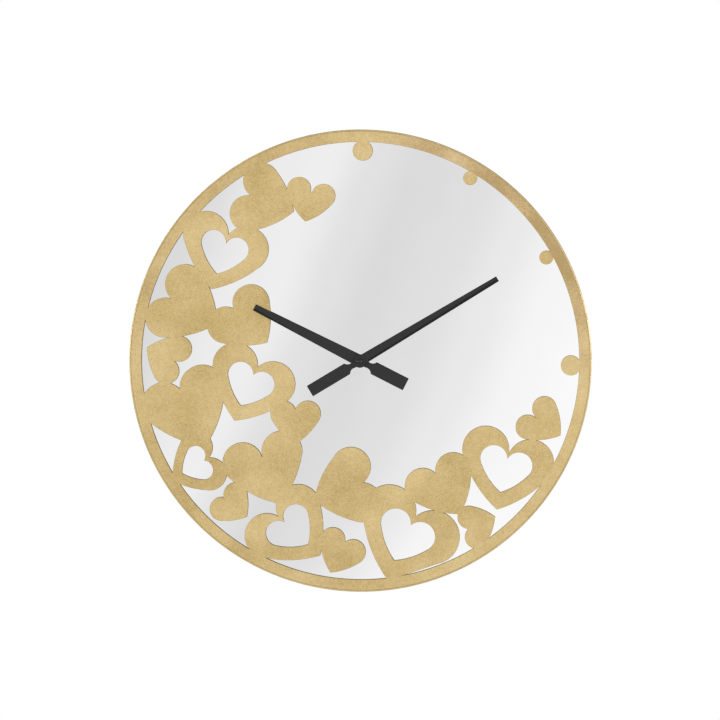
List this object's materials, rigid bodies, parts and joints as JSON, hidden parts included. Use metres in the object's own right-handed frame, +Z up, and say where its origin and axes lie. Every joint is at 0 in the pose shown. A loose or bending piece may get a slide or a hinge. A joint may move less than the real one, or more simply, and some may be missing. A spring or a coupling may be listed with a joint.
{
  "type": "mirror wall clock",
  "caption": "Round wall clock with a gold fretwork face of hearts over a mirror, flat dark hands and a quartz movement on a back board in a deep hoop.",
  "frame": {"origin": "centre of the round hole of the hanger plate, on the wall plane", "axes": "+Z up, +X right seen from the front, +Y into the wall, so the face looks toward -Y"},
  "size_m": [0.5999, 0.0385, 0.6],
  "materials": {
    "gold_leaf": "mottled metal leaf",
    "rim_gold": "satin",
    "foam_black": "matte",
    "silvered_glass": "mirror",
    "foam_white": "matte",
    "fibreboard": "matte",
    "zinc_plate": "satin",
    "movement_plastic": "matte",
    "brass_turned": "satin",
    "lamination": "satin",
    "bobbin_plastic": "matte",
    "copper_wire": "gloss",
    "circuit_green": "satin",
    "chip_black": "matte",
    "tin_can": "satin",
    "contact_spring": "satin",
    "battery_wrap": "gloss",
    "steel_arbor": "satin",
    "gear_plastic": "matte",
    "hand_black": "satin",
    "nut_black": "gloss",
    "knob_plastic": "matte"
  },
  "bodies": {
    "clock_case": {"front_panel": "gold_leaf", "rim_hoop": "rim_gold", "rim_gasket": "foam_black", "mirror_glass": "silvered_glass", "mirror_tape": "foam_white", "back_board": "fibreboard", "retaining_tab_1": "zinc_plate", "retaining_tab_2": "zinc_plate", "retaining_tab_3": "zinc_plate", "retaining_tab_4": "zinc_plate", "retaining_tab_5": "zinc_plate", "retaining_tab_6": "zinc_plate", "tab_screws": "zinc_plate", "hanger_plate": "zinc_plate", "movement_case": "movement_plastic", "movement_cover": "movement_plastic", "shaft_bushing": "brass_turned", "bushing_washer": "brass_turned", "bushing_nut": "brass_turned", "stator": "lamination", "coil_core": "lamination", "coil_bobbin": "bobbin_plastic", "coil_winding": "copper_wire", "circuit_board": "circuit_green", "control_chip": "chip_black", "quartz_crystal": "tin_can", "contact_positive": "contact_spring", "contact_negative": "contact_spring", "battery": "battery_wrap"},
    "minute_work": {"minute_arbor": "steel_arbor", "centre_wheel": "gear_plastic", "minute_hand": "hand_black", "hand_nut": "nut_black"},
    "hour_work": {"hour_wheel": "gear_plastic", "hour_hand": "hand_black"},
    "motion": {"motion_wheel": "gear_plastic"},
    "knob": {"set_knob": "knob_plastic"},
    "third": {"third_wheel": "gear_plastic"},
    "fourth": {"fourth_wheel": "gear_plastic"},
    "fifth": {"fifth_wheel": "gear_plastic"},
    "rotor": {"rotor": "lamination"}
  },
  "joints": [
    {"name": "minute_turn", "type": "hinge", "parent": "clock_case", "child": "minute_work", "pos_m": [0, 0, -0.272], "axis": [0, 1, 0], "continuous": true},
    {"name": "hour_turn", "type": "hinge", "parent": "clock_case", "child": "hour_work", "pos_m": [0, 0, -0.272], "axis": [0, 1, 0], "continuous": true},
    {"name": "motion_turn", "type": "hinge", "parent": "clock_case", "child": "motion", "pos_m": [0.006, 0, -0.26161], "axis": [0, 1, 0], "continuous": true},
    {"name": "knob_turn", "type": "hinge", "parent": "clock_case", "child": "knob", "pos_m": [0.01728, 0, -0.26571], "axis": [0, 1, 0], "continuous": true},
    {"name": "third_turn", "type": "hinge", "parent": "clock_case", "child": "third", "pos_m": [-0.01134, 0, -0.27], "axis": [0, 1, 0], "continuous": true},
    {"name": "fourth_turn", "type": "hinge", "parent": "clock_case", "child": "fourth", "pos_m": [-0.01282, 0, -0.26163], "axis": [0, 1, 0], "continuous": true},
    {"name": "fifth_turn", "type": "hinge", "parent": "clock_case", "child": "fifth", "pos_m": [-0.01888, 0, -0.25813], "axis": [0, 1, 0], "continuous": true},
    {"name": "rotor_turn", "type": "hinge", "parent": "clock_case", "child": "rotor", "pos_m": [-0.01588, 0, -0.25293], "axis": [0, 1, 0], "continuous": true}
  ],
  "couplings": [
    {"joint": "hour_turn", "follows": "minute_turn", "ratio": 0.083333},
    {"joint": "motion_turn", "follows": "minute_turn", "ratio": -0.33333},
    {"joint": "knob_turn", "follows": "minute_turn", "ratio": 1},
    {"joint": "third_turn", "follows": "minute_turn", "ratio": -8},
    {"joint": "fourth_turn", "follows": "minute_turn", "ratio": 60},
    {"joint": "fifth_turn", "follows": "minute_turn", "ratio": -360},
    {"joint": "rotor_turn", "follows": "minute_turn", "ratio": 1800}
  ]
}
